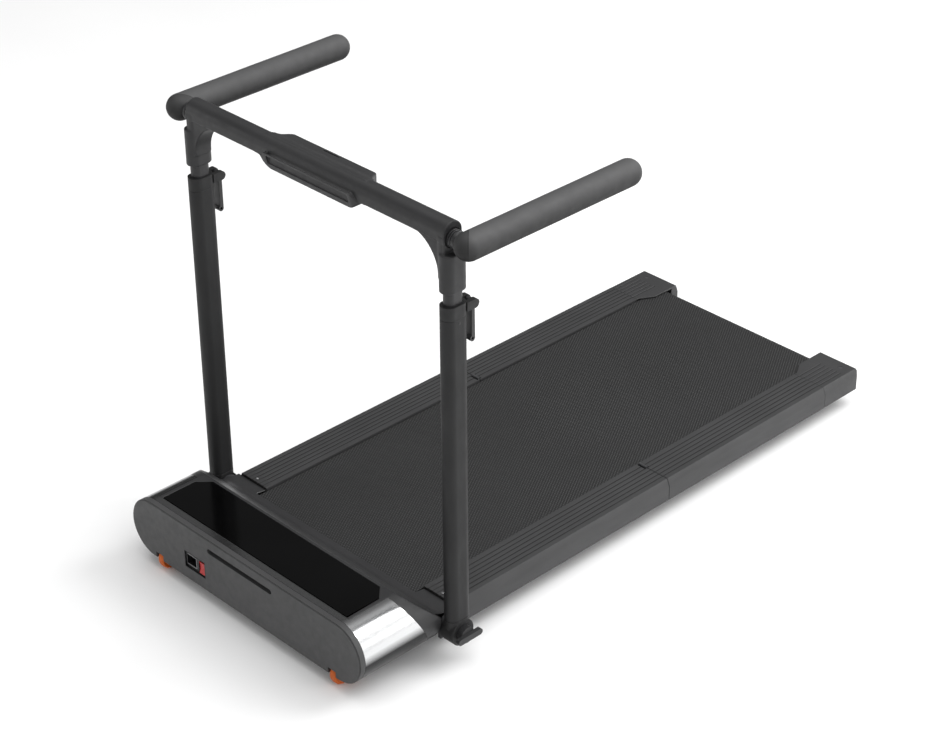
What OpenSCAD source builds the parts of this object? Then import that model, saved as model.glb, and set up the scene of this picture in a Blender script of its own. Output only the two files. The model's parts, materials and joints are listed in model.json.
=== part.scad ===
// Folding walking and running pad with a fold-down mast and two padded grips.
// Millimetres. +Z is up, +Y points from the motor head to the rear, +X is the
// walker's left. The origin is on the floor, at the centre of the footprint.

/* [Deck] */
// Width over both side rails
deck_w = 642; // [640:1:644]
// Height of the rail tops above the floor
deck_top = 88.5; // [88:0.5:90]
// Clear width between the side rails
gap_w = 468; // [466:1:470]
// Distance from the fold line back to the rear ends
rear_len = 626; // [620:1:640]
// Distance from the fold line forward to the flat front of the head
front_len = 866; // [862:1:870]
// Bare radius of both rollers
roller_r = 18; // [17:0.5:18]
// Thickness of the running belt
belt_t = 2; // [1.6:0.1:2.2]

/* [Motor head] */
// Width of the head
head_w = 682; // [676:1:684]
// Height of the head's section
head_h = 129; // [127:0.5:130]
// Height of the head's underside above the floor
head_z0 = 28; // [27:0.5:29]
// Wall of the mouldings
wall = 3; // [2.5:0.5:3]

/* [Mast] */
// Height of the grips' centre line above the floor
grip_z = 896.5; // [880:0.5:910]
// Distance from the centre plane to the middle of each upright
upright_x = 350; // [350:0.5:352]
// Width and depth of the outer tubes
outer_w = 34; // [33:0.5:34]
outer_l = 52; // [50:0.5:54]
// Width and depth of the inner tubes
inner_w = 24; // [23:0.5:25]
inner_l = 38; // [36:0.5:40]
// Height of the base pivots
pivot_z = 62; // [60:0.5:64]

/* [Grips] */
// Radius of the padded grips
grip_r = 26.5; // [24:0.5:26.5]
// Distance from the centre plane to each grip's centre line
grip_x = 394; // [394:0.5:400]
// Length of a grip from its first round end's centre to the last
grip_len = 396; // [300:1:400]

/* [Hidden] */
$fn = 64;
eps = 0.01;

// Every shape below is written with y = 0 at the fold line, then moved so that
// the origin sits under the middle of the footprint.
fold_y = (front_len - rear_len) / 2;

// Deck heights and widths
seam_gap = 0.3;
rail_out = deck_w / 2;
rail_in = gap_w / 2;
rail_z0 = 39;
chamfer_w = 7;
chamfer_z = deck_top - 17.5;
groove_xs = [for (i = [0 : 5]) rail_in + 12 + i * 11];
belt_top = deck_top - 4.5;
belt_half = rail_in - 2;
belt_gap = 0.4;
roller_z = belt_top - belt_t - belt_gap - roller_r;
board_top = belt_top - belt_t - 0.3;
board_t = 14;
board_half = 284;
beam_x = 266;
beam_w = 32;
beam_z0 = 42;
beam_h = 20;
beam_wall = 3;
cushion_h = board_top - board_t - beam_z0 - beam_h;
cross_z0 = 47;
cross_h = 15;
cross_w = 30;
rail_front_y = -607;
cap_y = 505;
cap_in = 214;
axle_r = 7.5;
axle_half = 298;
bolt_x = beam_x + beam_w / 2;
run_clear = 0.05;
front_roller_y = -668;
rear_roller_y = rear_len - 46;
foot_x = 257;
foot_r = 16;

// Hinges at the fold line
hinge_z = deck_top + 0.5;
hinge_r = 3.2;
hinge_pin_r = 1.6;
hinge_x0 = rail_in + 3;
hinge_len = 21;

// Motor head
head_y = -front_len;
head_r = head_h / 2;
head_cx = head_w / 2 - head_r;
head_cz = head_z0 + head_r;
head_top = head_z0 + head_h;
fascia_t = 14;
shell_y = head_y + fascia_t;
strip_y = shell_y + 13;
split_z = 60;
head_end_y = -662;
end_wall_x = 301;
crest_y = -724;
panel_half = 273;
panel_y0 = -836;
panel_y1 = -730;
panel_corner = 26;
inlet_x = -143.5;
inlet_z = 76;
inlet_w = 63;
inlet_h = 38;
shroud_x = -157;
rocker_x = -122.5;
rocker_y = head_y + 12;
rocker_pin_r = 1.2;
motor_y = -790;
motor_z = 80;
motor_r = 40;
pulley_x = -262;
pulley_w = 18;
motor_pulley_r = 14;
roller_pulley_r = 26;
wheel_x = 259;
wheel_y = head_y + 24;
wheel_r = 24;
wheel_z = wheel_r + 1.5;
wheel_w = 16;
wheel_axle_r = 4;

// Mast
mast_y = -631;
stud_r = 6;
bracket_x = 323.5;
bracket_t = 8;
boss_r = 28;
tube_z0 = 92;
tube_z1 = 742;
tube_wall = 2.5;
collar_z = 768;
leg_z = 795;
leg_cut_z = 870;
inner_z0 = 560;
lever_y = -591;
lever_z = 759;
lug_r = 9;
bar_z0 = 892;
bar_r = 21.5;
bar_flat = 15;
bar_half = 353;
web_r = 75;
pod_half = 111;
pod_y1 = -587;
pod_z0 = bar_z0 + 7;
pod_z1 = bar_z0 + 28.5;
fence_half = 111;
fence_z0 = bar_z0 - 21;
fence_z1 = bar_z0 + 14;
slot_w = 6;
slot_z0 = bar_z0 - 8;
hub_r = 15;
hub_pin_r = 7;
core_r = 12;

// ---- helpers ----

// Moves a shape from the fold line frame to the part's own frame
module placed() {
    translate([0, fold_y, 0]) children();
}

// Extrudes an X-Z outline along Y
module along_y(y0, y1) {
    translate([0, y1, 0]) rotate([90, 0, 0]) linear_extrude(y1 - y0) children();
}

// Extrudes a Y-Z outline along X
module along_x(x0, x1) {
    translate([x0, 0, 0]) rotate([90, 0, 90]) linear_extrude(x1 - x0) children();
}

module box(x, y, z) {
    translate([x[0], y[0], z[0]]) cube([x[1] - x[0], y[1] - y[0], z[1] - z[0]]);
}

// A shape and its mirror image across the centre plane
module both_sides() {
    children();
    mirror([1, 0, 0]) children();
}

// The shape as drawn for +X, or its mirror image for -X
module on_side(s) {
    if (s < 0) mirror([1, 0, 0]) children();
    else children();
}

module rod_x(x0, x1, y, z, r) {
    translate([x0, y, z]) rotate([0, 90, 0]) cylinder(h = x1 - x0, r = r);
}

module obround_2d(w, l) {
    square([w, l - w], center = true);
    for (s = [-1, 1]) translate([0, s * (l - w) / 2]) circle(w / 2);
}

// Upright-shaped prism around the axis of one upright
module mast_prism(w, l, z0, z1) {
    translate([upright_x, mast_y, z0]) linear_extrude(z1 - z0) obround_2d(w, l);
}

// ---- motor head outlines ----

module head_2d(inset = 0) {
    r = head_r - inset;
    translate([0, head_cz]) {
        square([2 * head_cx, 2 * r], center = true);
        for (s = [-1, 1]) translate([s * head_cx, 0]) circle(r, $fn = 96);
    }
}

module head_skin(y0, y1) {
    difference() {
        along_y(y0, y1) head_2d();
        along_y(y0 - 1, y1 + 1) head_2d(wall);
    }
}

// Side outline of the hood: flat top, then a slope down to the belt
module hood_side_2d(drop = 0) {
    polygon([
        [shell_y - drop, split_z - drop], [shell_y - drop, head_top - drop],
        [crest_y - drop / 2, head_top - drop], [-656 - drop, 93 - drop / 2],
        [-640, 89 - drop], [-608 + drop, 84.5 - drop], [-608 + drop, split_z - drop]
    ]);
}

// Where the polished skin lies: a strip across the front and both round ends
module trim_zone() {
    box([-head_cx - head_r, head_cx + head_r], [shell_y, strip_y], [split_z, head_top + 1]);
    both_sides() along_x(283, 283 + head_r) polygon([
        [shell_y, 40], [shell_y, head_top + 3], [-744, head_top + 3], [-679, 40]
    ]);
}

module panel_2d(grow = 0) {
    w = panel_half + grow;
    y0 = panel_y0 - grow;
    y1 = panel_y1 + grow;
    polygon([
        [-w, y0], [w, y0], [w, y1 - panel_corner],
        [w - panel_corner, y1], [panel_corner - w, y1], [-w, y1 - panel_corner]
    ]);
}

// ---- fixed base: deck ----

// One half of the deck's frame: two lengthwise tubes, open at the fold line,
// with roller blocks on them, joined by channels that are open underneath
module half_frame(y0, y1, cross, block_y, bore_y) {
    difference() {
        union() {
            both_sides() {
                box([beam_x, beam_x + beam_w], [y0, y1], [beam_z0, beam_z0 + beam_h]);
                box([beam_x, beam_x + beam_w], [block_y - 14, block_y + 14],
                    [beam_z0 + beam_h, roller_z + 14]);
            }
            for (y = cross)
                box([-beam_x, beam_x], [y, y + cross_w], [cross_z0, cross_z0 + cross_h]);
        }
        both_sides() {
            rod_x(beam_x - 1, beam_x + beam_w + 1, block_y, roller_z, axle_r);
            box([beam_x + beam_wall, beam_x + beam_w - beam_wall], bore_y,
                [beam_z0 + beam_wall, beam_z0 + beam_h - beam_wall]);
        }
        for (y = cross)
            box([-beam_x - 1, beam_x + 1], [y + beam_wall, y + cross_w - beam_wall],
                [cross_z0 - 1, cross_z0 + cross_h - beam_wall]);
    }
}

module front_frame() {
    color("dimgray") placed()
        half_frame(-715, -seam_gap, [-600, -320, -40], front_roller_y,
            [front_roller_y + 18, 1]);
}

module rear_frame() {
    color("dimgray") placed() difference() {
        half_frame(seam_gap, rear_len - 30, [12, 290, 500], rear_roller_y,
            [-1, rear_roller_y - 18]);
        both_sides() tension_shank();
    }
}

module board(y0, y1) {
    box([-board_half, board_half], [y0, y1], [board_top - board_t, board_top]);
}

module front_board() {
    color("saddlebrown") placed() difference() {
        board(-636, -seam_gap);
        both_sides() box([belt_half - 7, board_half + 1], [-637, rail_front_y + 1], [0, 100]);
    }
}

module rear_board() {
    color("saddlebrown") placed() board(seam_gap, rear_roller_y - 24);
}

module cushions(ys) {
    both_sides() for (y = ys)
        box([beam_x + 2, board_half - 2], [y - 20, y + 20],
            [beam_z0 + beam_h, beam_z0 + beam_h + cushion_h]);
}

module front_cushions() {
    color("black") placed() cushions([-560, -400, -240, -80]);
}

module rear_cushions() {
    color("black") placed() cushions([80, 230, 380, 520]);
}

// One side rail's moulding: top plate with grooves, chamfer, apron, inner lip
module rail_2d() {
    difference() {
        polygon([
            [rail_in, deck_top], [rail_out - chamfer_w, deck_top],
            [rail_out, chamfer_z], [rail_out, rail_z0], [rail_out - wall, rail_z0],
            [rail_out - wall, chamfer_z], [rail_out - chamfer_w - 2, deck_top - wall],
            [rail_in + 2.5, deck_top - wall], [rail_in + 2.5, board_top + 0.5],
            [rail_in, board_top + 0.5]
        ]);
        for (x = groove_xs) translate([x, deck_top - 1]) square([2, 2]);
    }
}

module rail_ribs(ys) {
    for (y = ys)
        box([board_half + 2, rail_out - chamfer_w], [y - 2, y + 2],
            [beam_z0 + beam_h, deck_top - wall + 0.5]);
}

module hinge_notch() {
    box([hinge_x0 - 0.5, hinge_x0 + hinge_len + 0.5], [-6, 6], [rail_z0, deck_top + 1]);
}

module screw_seat(x, y) {
    translate([x, y, deck_top - 2]) cylinder(h = 3, r = 5);
    translate([x, y, deck_top - wall - 1]) cylinder(h = 3, r = 2.2);
}

module front_rail() {
    difference() {
        union() {
            along_y(rail_front_y, -seam_gap) rail_2d();
            rail_ribs([-570, -430, -290, -150, -20]);
        }
        hinge_notch();
        screw_seat(276, -595);
    }
}

module rear_rail() {
    difference() {
        union() {
            along_y(seam_gap, cap_y) rail_2d();
            rail_ribs([20, 150, 290, 430]);
        }
        hinge_notch();
    }
}

module rail_front_left() {
    color([0.27, 0.27, 0.28]) placed() front_rail();
}

module rail_front_right() {
    color([0.27, 0.27, 0.28]) placed() on_side(-1) front_rail();
}

module rail_rear_left() {
    color([0.27, 0.27, 0.28]) placed() rear_rail();
}

module rail_rear_right() {
    color([0.27, 0.27, 0.28]) placed() on_side(-1) rear_rail();
}

// Wider moulding that ends the rail beside the rear roller
module end_cap() {
    difference() {
        intersection() {
            translate([0, 0, rail_z0]) linear_extrude(60) polygon([
                [rail_out, cap_y + seam_gap], [rail_out, rear_len - 10],
                [rail_out - 10, rear_len], [cap_in, rear_len], [cap_in, 546],
                [rail_in, 512], [rail_in, cap_y + seam_gap]
            ]);
            along_y(cap_y, rear_len) polygon([
                [cap_in, deck_top], [rail_out - chamfer_w, deck_top],
                [rail_out, chamfer_z], [rail_out, rail_z0], [cap_in, rail_z0]
            ]);
        }
        along_x(cap_in - 1, rail_out + 1) polygon([
            [rear_len - chamfer_w, deck_top + 1], [rear_len - chamfer_w, deck_top],
            [rear_len, chamfer_z], [rear_len + 1, chamfer_z], [rear_len + 1, deck_top + 1]
        ]);
        for (x = groove_xs)
            box([x, x + 2], [cap_y, rear_len - 46], [deck_top - 1, deck_top + 1]);
        box([beam_x - 26, rail_out - wall], [cap_y, rear_len - 10], [0, deck_top - 10]);
        box([beam_x - 26, rail_out - 10], [cap_y, rear_len - 10], [0, deck_top - wall - 1]);
        box([beam_x - 26, rail_out - 10], [cap_y, rear_len - wall], [0, deck_top - 17]);
        box([0, beam_x - 20], [cap_y, rear_roller_y + 23], [0, belt_top + 0.8]);
        box([cap_in + wall, beam_x - 20], [rear_roller_y + 26, rear_len - 10],
            [0, deck_top - wall]);
        screw_seat(288, rear_len - 28);
        translate([bolt_x, rear_len + 1, roller_z]) rotate([90, 0, 0]) cylinder(h = 6, r = 5);
    }
}

module end_cap_left() {
    color([0.26, 0.26, 0.27]) placed() end_cap();
}

module end_cap_right() {
    color([0.26, 0.26, 0.27]) placed() on_side(-1) end_cap();
}

// Half of the running belt's loop as a Y-Z outline around one roller
module belt_half_2d(y_roller, y_seam) {
    outer = roller_r + belt_gap + belt_t;
    inner = roller_r + belt_gap;
    y0 = min(y_roller, y_seam);
    len = abs(y_seam - y_roller);
    difference() {
        union() {
            translate([y_roller, roller_z]) circle(outer, $fn = 96);
            translate([y0, roller_z - outer]) square([len, 2 * outer]);
        }
        translate([y_roller, roller_z]) circle(inner, $fn = 96);
        translate([y_seam > y_roller ? y0 : y0 - 1, roller_z - inner]) square([len + 1, 2 * inner]);
    }
}

module belt_front() {
    color([0.2, 0.2, 0.2]) placed()
        along_x(-belt_half, belt_half) belt_half_2d(front_roller_y, -seam_gap);
}

module belt_rear() {
    color([0.2, 0.2, 0.2]) placed()
        along_x(-belt_half, belt_half) belt_half_2d(rear_roller_y, seam_gap);
}

// Rubber feet whose stems stand in the cross channels
module feet(ys) {
    both_sides() for (y = ys) translate([foot_x, y, 0]) {
        cylinder(h = 12, r = foot_r);
        cylinder(h = cross_z0 + cross_h - beam_wall, r = foot_r / 2);
    }
}

module front_feet() {
    color("black") placed() feet([-585, -25]);
}

module rear_feet() {
    color("black") placed() feet([27, 515]);
}

module fixed_axle(y) {
    rod_x(-axle_half, axle_half, y, roller_z, axle_r);
}

module front_axle() {
    color("silver") placed() fixed_axle(front_roller_y);
}

module rear_axle() {
    color("silver") placed() difference() {
        fixed_axle(rear_roller_y);
        both_sides() tension_shank();
    }
}

// Shank that goes through the rear axle, to pull it back and tighten the belt
module tension_shank() {
    translate([bolt_x, rear_len - 14, roller_z]) rotate([90, 0, 0]) cylinder(h = 44, r = 4);
}

module tension_bolts() {
    color("silver") placed() both_sides() {
        tension_shank();
        translate([bolt_x, rear_len - 8, roller_z]) rotate([90, 0, 0]) cylinder(h = 6, r = 7);
    }
}

// Screws that show in the tops of the rails
module rail_screw(x, y) {
    translate([x, y, deck_top - 2]) cylinder(h = 1.6, r = 4.6);
    translate([x, y, deck_top - wall - 3]) cylinder(h = 4, r = 2);
}

module front_screws() {
    color("gray") placed() both_sides() rail_screw(276, -595);
}

module rear_screws() {
    color("gray") placed() both_sides() rail_screw(288, rear_len - 28);
}

// Hinge leaf with its knuckles: s is -1 for the front half, 1 for the rear half
module leaf(s, knuckles, bore) {
    mid = hinge_x0 + hinge_len / 2;
    y0 = s < 0 ? -60 : 5;
    difference() {
        union() {
            box([hinge_x0, hinge_x0 + hinge_len], [y0, y0 + 55],
                [board_top, board_top + 2.8]);
            for (k = knuckles) {
                rod_x(k[0], k[1], 0, hinge_z, hinge_r);
                box(k, s < 0 ? [-5, 0] : [0, 5], [board_top, board_top + 2.8]);
                box(k, s < 0 ? [-2.6, 0] : [0, 2.6], [board_top + 2, hinge_z]);
            }
        }
        rod_x(mid - 20, mid + 20, 0, hinge_z, bore);
    }
}

module front_hinges() {
    a = hinge_x0;
    b = hinge_x0 + hinge_len;
    color("gray") placed() both_sides() {
        leaf(-1, [[a, a + 6], [b - 6, b]], hinge_pin_r);
        rod_x(a, b, 0, hinge_z, hinge_pin_r);
    }
}

module rear_hinges() {
    a = hinge_x0 + 6.4;
    b = hinge_x0 + hinge_len - 6.4;
    color("gray") placed() both_sides() leaf(1, [[a, b]], hinge_pin_r + run_clear);
}

// ---- fixed base: motor head ----

module wheel_notch() {
    box([wheel_x - 11, wheel_x + 11], [head_y - 1, wheel_y + 29], [0, 40]);
    rod_x(wheel_x - 11, wheel_x + 11, wheel_y, 26, 29);
}

module front_fascia() {
    color([0.3, 0.3, 0.31]) placed() difference() {
        union() {
            along_y(head_y, head_y + 2) head_2d(2);
            along_y(head_y + 2, shell_y) head_2d();
        }
        both_sides() wheel_notch();
        box([inlet_x - inlet_w / 2, inlet_x + inlet_w / 2], [head_y - 1, shell_y + 1],
            [inlet_z - inlet_h / 2, inlet_z + inlet_h / 2]);
        translate([-4, head_y + 10, 131]) rotate([90, 90, 0]) linear_extrude(12)
            obround_2d(11, 192);
    }
}

module belly_pan() {
    color([0.16, 0.16, 0.17]) placed() difference() {
        union() {
            intersection() {
                head_skin(shell_y, head_end_y);
                box([-head_w, head_w], [shell_y, head_end_y], [0, split_z]);
            }
            both_sides() {
                for (x = [wheel_x - 18, wheel_x + 11.5]) wheel_lug(x, x + 6.5);
                box([beam_x + 2, beam_x + 22], [-712, -684], [head_z0 + 2, beam_z0]);
                intersection() {
                    along_y(head_end_y - wall, head_end_y) head_2d(wall / 2);
                    box([end_wall_x, head_w], [shell_y, head_end_y], [0, split_z]);
                }
            }
        }
        trim_zone();
        both_sides() wheel_notch();
        both_sides() wheel_pin();
    }
}

module wheel_pin() {
    rod_x(wheel_x - 16, wheel_x + 16, wheel_y, wheel_z, wheel_axle_r);
}

// Ear that carries one end of a transport wheel's pin
module wheel_lug(x0, x1) {
    rod_x(x0, x1, wheel_y, wheel_z, 9);
    box([x0, x1], [shell_y, wheel_y + 9], [wheel_z, head_z0 + 12]);
}

module hood() {
    color([0.23, 0.23, 0.24]) placed() difference() {
        union() {
            difference() {
                intersection() {
                    along_y(shell_y, -608) head_2d();
                    along_x(-head_w / 2, head_w / 2) hood_side_2d();
                }
                intersection() {
                    along_y(shell_y - 1, -607) head_2d(wall);
                    along_x(-head_w / 2, head_w / 2) hood_side_2d(wall);
                }
                box([-rail_in - 2, rail_in + 2], [-720, -600], [0, belt_top + 0.8]);
            }
            difference() {
                translate([0, 0, head_top - 7]) linear_extrude(4.5) panel_2d(2);
                translate([0, 0, head_top - 8]) linear_extrude(9) panel_2d(-8);
            }
            both_sides() intersection() {
                along_y(head_end_y - wall, head_end_y) head_2d(wall / 2);
                along_x(end_wall_x, head_w / 2) hood_side_2d(wall / 2);
                box([end_wall_x, head_w], [shell_y, 0], [split_z + 0.5, head_top]);
            }
        }
        trim_zone();
        translate([0, 0, head_top - wall]) linear_extrude(wall + 1) panel_2d();
        both_sides() box([rail_out + 1, head_w], [head_end_y, 0], [0, 200]);
        box([-rail_in - 2, rail_in + 2], [-632, 0], [0, 200]);
    }
}

module trim_skin() {
    color("silver") placed() intersection() {
        head_skin(shell_y, head_end_y);
        trim_zone();
    }
}

module display_panel() {
    color("black") placed()
        translate([0, 0, head_top - wall]) linear_extrude(wall + 0.2) panel_2d(-0.4);
}

module display_board() {
    color("green") placed()
        translate([-150, -815, head_top - 6]) cube([300, 60, 2]);
}

// Mains inlet with its shroud, and the frame of the rocker switch
module inlet_socket() {
    half_w = inlet_w / 2 - 0.5;
    half_h = inlet_h / 2 - 0.5;
    color([0.08, 0.08, 0.08]) placed() difference() {
        box([inlet_x - half_w, inlet_x + half_w], [head_y + 4, head_y + 34],
            [inlet_z - half_h, inlet_z + half_h]);
        box([shroud_x - 14, shroud_x + 14], [head_y + 3, head_y + 24],
            [inlet_z - 11, inlet_z + 11]);
        box([rocker_x - 8.8, rocker_x + 8.8], [head_y + 3, head_y + 30],
            [inlet_z - 16, inlet_z + 16]);
        rod_x(rocker_x - 11, rocker_x + 11, rocker_y, inlet_z, rocker_pin_r + run_clear);
    }
    color("silver") placed() for (p = [[-7, -3], [7, -3], [0, 4]])
        box([shroud_x + p[0] - 1, shroud_x + p[0] + 1], [head_y + 16, head_y + 24 + eps],
            [inlet_z + p[1] - 3, inlet_z + p[1] + 3]);
}

module motor_case() {
    color("gray") placed() difference() {
        union() {
            rod_x(-225, -80, motor_y, motor_z, motor_r);
            rod_x(-232, -225, motor_y, motor_z, 18);
        }
        rod_x(-240, -70, motor_y, motor_z, 5 + run_clear);
    }
}

module motor_bracket() {
    color("dimgray") placed() difference() {
        box([-200, -105], [motor_y - 34, motor_y + 34], [head_z0 + wall, motor_z - 20]);
        rod_x(-240, -70, motor_y, motor_z, motor_r);
    }
}

module controller_board() {
    color("green") placed() {
        box([60, 220], [-832, -752], [head_z0 + 8, head_z0 + 10]);
        box([80, 150], [-820, -780], [head_z0 + 10, head_z0 + 34]);
        for (x = [160 : 12 : 208])
            translate([x, -770, head_z0 + 10]) cylinder(h = 20, r = 5);
        for (x = [70, 210]) for (y = [-826, -758])
            translate([x, y, head_z0 + wall]) cylinder(h = 5, r = 4);
    }
}

module drive_loop_2d(grow) {
    hull() {
        translate([motor_y, motor_z]) circle(motor_pulley_r + grow);
        translate([front_roller_y, roller_z]) circle(roller_pulley_r + grow);
    }
}

module drive_belt() {
    color("black") placed() along_x(pulley_x + 1.5, pulley_x + pulley_w - 1.5) difference() {
        drive_loop_2d(2.5);
        drive_loop_2d(0.5);
    }
}

module wheel_axles() {
    color("silver") placed() both_sides() wheel_pin();
}

// Steel plates beside the rails with the studs that the mast turns on
module pivot_brackets() {
    color("dimgray") placed() both_sides() {
        box([bracket_x, bracket_x + bracket_t], [mast_y - 24, mast_y + 24], [40, pivot_z]);
        rod_x(bracket_x, bracket_x + bracket_t, mast_y, pivot_z, 24);
        box([beam_x + beam_w, bracket_x], [mast_y - 17, mast_y + 17], [46, 74]);
        rod_x(bracket_x + bracket_t, upright_x + 27, mast_y, pivot_z, stud_r);
    }
}

// ---- mast ----

module upright() {
    difference() {
        mast_prism(outer_w, outer_l, tube_z0, tube_z1);
        mast_prism(outer_w - 2 * tube_wall, outer_l - 2 * tube_wall, tube_z0 - 1, tube_z1 + 1);
    }
}

module upright_left() {
    color([0.24, 0.24, 0.25]) placed() upright();
}

module upright_right() {
    color([0.24, 0.24, 0.25]) placed() on_side(-1) upright();
}

// Cast feet: a round boss on the stud and a spigot up into the tube
module mast_feet() {
    x0 = upright_x - outer_w / 2;
    color([0.2, 0.2, 0.21]) placed() both_sides() difference() {
        union() {
            rod_x(x0, x0 + outer_w, mast_y, pivot_z, boss_r);
            mast_prism(outer_w, outer_l, pivot_z, tube_z0);
            mast_prism(outer_w - 2 * tube_wall, outer_l - 2 * tube_wall, tube_z0 - 1, 140);
        }
        rod_x(x0 - 1, x0 + outer_w + 1, mast_y, pivot_z, stud_r + run_clear);
    }
}

// Moulded top of the outer tube: guide for the inner tube and lugs for the lever
module collar() {
    difference() {
        union() {
            mast_prism(outer_w, outer_l, tube_z1, collar_z);
            mast_prism(outer_w - 2 * tube_wall, outer_l - 2 * tube_wall, 700, tube_z1);
            for (x = [upright_x - 16, upright_x + 6]) {
                rod_x(x, x + 10, lever_y, lever_z - 2, lug_r);
                box([x, x + 10], [mast_y + 20, lever_y],
                    [lever_z - 2 - lug_r, lever_z - 2 + lug_r]);
            }
        }
        mast_prism(inner_w + 0.8, inner_l + 0.8, 690, collar_z + 1);
        rod_x(upright_x - 6, upright_x + 6, lever_y, lever_z - 2, lug_r + 0.6);
        rod_x(upright_x - 16.5, upright_x + 16.5, lever_y, lever_z - 2, 3);
    }
    rod_x(upright_x - 16, upright_x + 16, lever_y, lever_z - 2, 3);
}

module collar_left() {
    color([0.22, 0.22, 0.23]) placed() collar();
}

module collar_right() {
    color([0.22, 0.22, 0.23]) placed() on_side(-1) collar();
}

// Quick-release lever that hangs behind the tube
module lever() {
    z = lever_z - 2;
    difference() {
        union() {
            rod_x(upright_x - 5.5, upright_x + 5.5, lever_y, z, lug_r - 2);
            box([upright_x - 5.5, upright_x + 5.5], [lever_y - 4, lever_y + 4], [z - 16, z]);
            box([upright_x - 10, upright_x + 10], [lever_y - 4, lever_y + 4], [z - 72, z - 12.5]);
            rod_x(upright_x - 10, upright_x + 10, lever_y - 2, z - 72, 6);
        }
        rod_x(upright_x - 11, upright_x + 11, lever_y, z, 3 + run_clear);
        rod_x(upright_x - 11, upright_x + 11, lever_y - 2, z - 72, 2.6);
    }
}

module lever_left() {
    color([0.2, 0.2, 0.21]) placed() lever();
}

module lever_right() {
    color([0.2, 0.2, 0.21]) placed() on_side(-1) lever();
}

// Clamp knob with a wing bar on the end of the stud
module knob() {
    x0 = upright_x + outer_w / 2 + 0.6;
    difference() {
        union() {
            rod_x(x0, x0 + 12, mast_y, pivot_z, 17);
            translate([x0 + 12, mast_y, pivot_z]) rotate([90, 0, 90]) rotate([0, 0, 90])
                linear_extrude(9) obround_2d(13, 62);
        }
        rod_x(x0 - 1, upright_x + 27.5, mast_y, pivot_z, stud_r + run_clear);
    }
}

module knob_left() {
    color([0.2, 0.2, 0.21]) placed() knob();
}

module knob_right() {
    color([0.2, 0.2, 0.21]) placed() on_side(-1) knob();
}

// ---- height-adjustable top of the mast ----

module inner_tubes() {
    color([0.22, 0.22, 0.23]) placed() both_sides() difference() {
        mast_prism(inner_w, inner_l, inner_z0, leg_cut_z - 5);
        mast_prism(inner_w - 4, inner_l - 4, inner_z0 - 1, leg_cut_z);
    }
}

module bar_2d() {
    translate([mast_y - bar_r, bar_z0]) square([2 * bar_r, bar_flat]);
    translate([mast_y, bar_z0 + bar_flat]) circle(bar_r, $fn = 96);
}

// One leg of the U moulding, stepped in at the top to clear the grip
module bar_leg() {
    difference() {
        mast_prism(outer_w, outer_l, leg_z, bar_z0 + 8);
        box([bar_half, bar_half + 30], [mast_y - 40, mast_y + 40], [leg_cut_z, bar_z0 + 20]);
        for (s = [-1, 1]) translate([upright_x, mast_y + s * (bar_r + 9), leg_cut_z + 25])
            cube([60, 20, 50], center = true);
    }
}

// Curved web between a leg and the bar
module bar_web() {
    x0 = upright_x - outer_w / 2 + 1 - web_r;
    along_y(mast_y - 16, mast_y + 16) difference() {
        translate([x0, bar_z0 + 2 - web_r]) square([web_r + 5, web_r + 3]);
        translate([x0, bar_z0 + 2 - web_r]) circle(web_r, $fn = 128);
    }
}

// One-piece U moulding: bar, curved webs and the two legs over the inner tubes
module crossbar() {
    color([0.24, 0.24, 0.25]) placed() difference() {
        union() {
            along_x(-bar_half, bar_half) intersection() {
                bar_2d();
                translate([mast_y - 50, bar_z0]) square([100, 100]);
            }
            both_sides() {
                bar_leg();
                bar_web();
            }
        }
        both_sides() mast_prism(inner_w, inner_l, leg_z - 1, leg_cut_z - 5);
        both_sides() rod_x(bar_half - 32, bar_half + 1, mast_y, grip_z, hub_pin_r + run_clear);
    }
}

// Control pod that swells out behind the bar, with a narrow slot in its top
module console_pod() {
    color([0.26, 0.26, 0.27]) placed() difference() {
        intersection() {
            translate([0, 0, pod_z0]) linear_extrude(40) polygon([
                [-pod_half - 19, mast_y], [pod_half + 19, mast_y],
                [pod_half + 19, pod_y1 - 23], [pod_half + 10, pod_y1 - 18],
                [pod_half + 6, pod_y1 - 6], [pod_half, pod_y1],
                [-pod_half, pod_y1], [-pod_half - 6, pod_y1 - 6],
                [-pod_half - 10, pod_y1 - 18], [-pod_half - 19, pod_y1 - 23]
            ]);
            along_x(-bar_half, bar_half) polygon([
                [mast_y, pod_z0], [pod_y1 - 5, pod_z0], [pod_y1, pod_z0 + 5],
                [pod_y1, pod_z1], [mast_y + 9, pod_z1 + 4.5], [mast_y, pod_z1 + 4.5]
            ]);
        }
        along_x(-bar_half, bar_half) bar_2d();
        box([-21, 21], [pod_y1 - 11, pod_y1 - 8], [pod_z1 - 4, pod_z1 + 10]);
    }
}

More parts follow.
